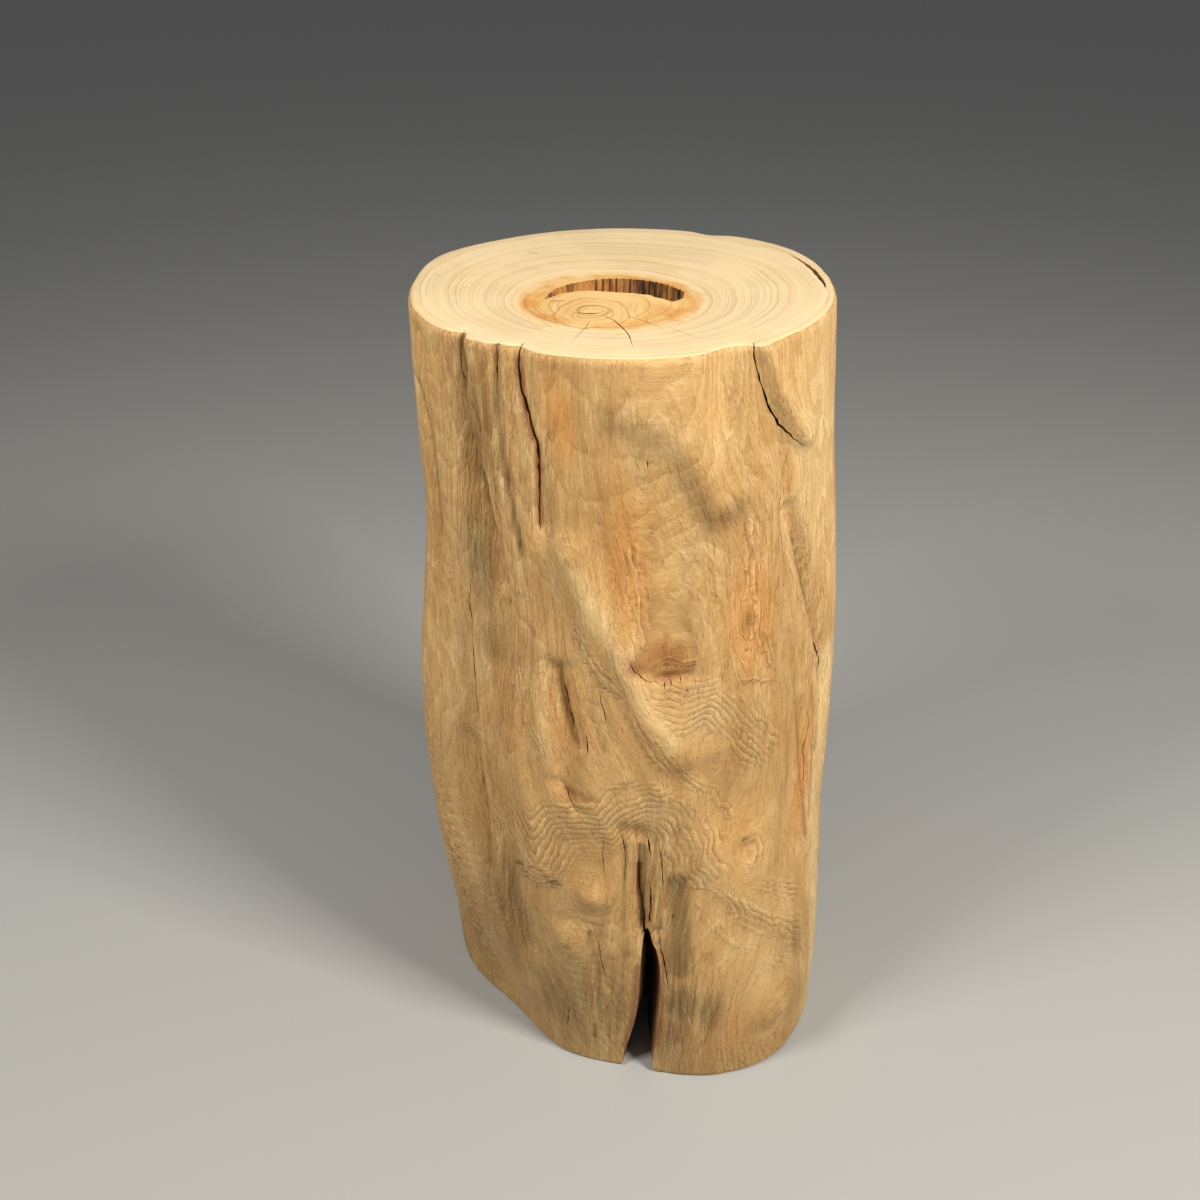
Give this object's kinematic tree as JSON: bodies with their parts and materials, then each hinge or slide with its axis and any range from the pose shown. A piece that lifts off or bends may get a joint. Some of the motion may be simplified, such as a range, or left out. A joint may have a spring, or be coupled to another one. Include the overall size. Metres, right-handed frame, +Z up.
{
  "type": "wood block",
  "caption": "Upright log block of solid pale wood, flat sawn top and base, wavy sanded side, split foot and a crescent pit beside the heart; stands as a stool or side table.",
  "frame": {"origin": "on the floor, under the middle of the block's bounding box", "axes": "+Z up along the log, -Y towards the front with the split foot, +X to the right seen from the front"},
  "size_m": [0.4127, 0.3828, 0.76],
  "materials": {
    "wood": "peeled and fine-sanded raw wood, pale cream sawn top, tan side with grey and orange stains, satin to matt"
  },
  "bodies": {
    "root": {"wood_block": "wood"}
  },
  "joints": []
}
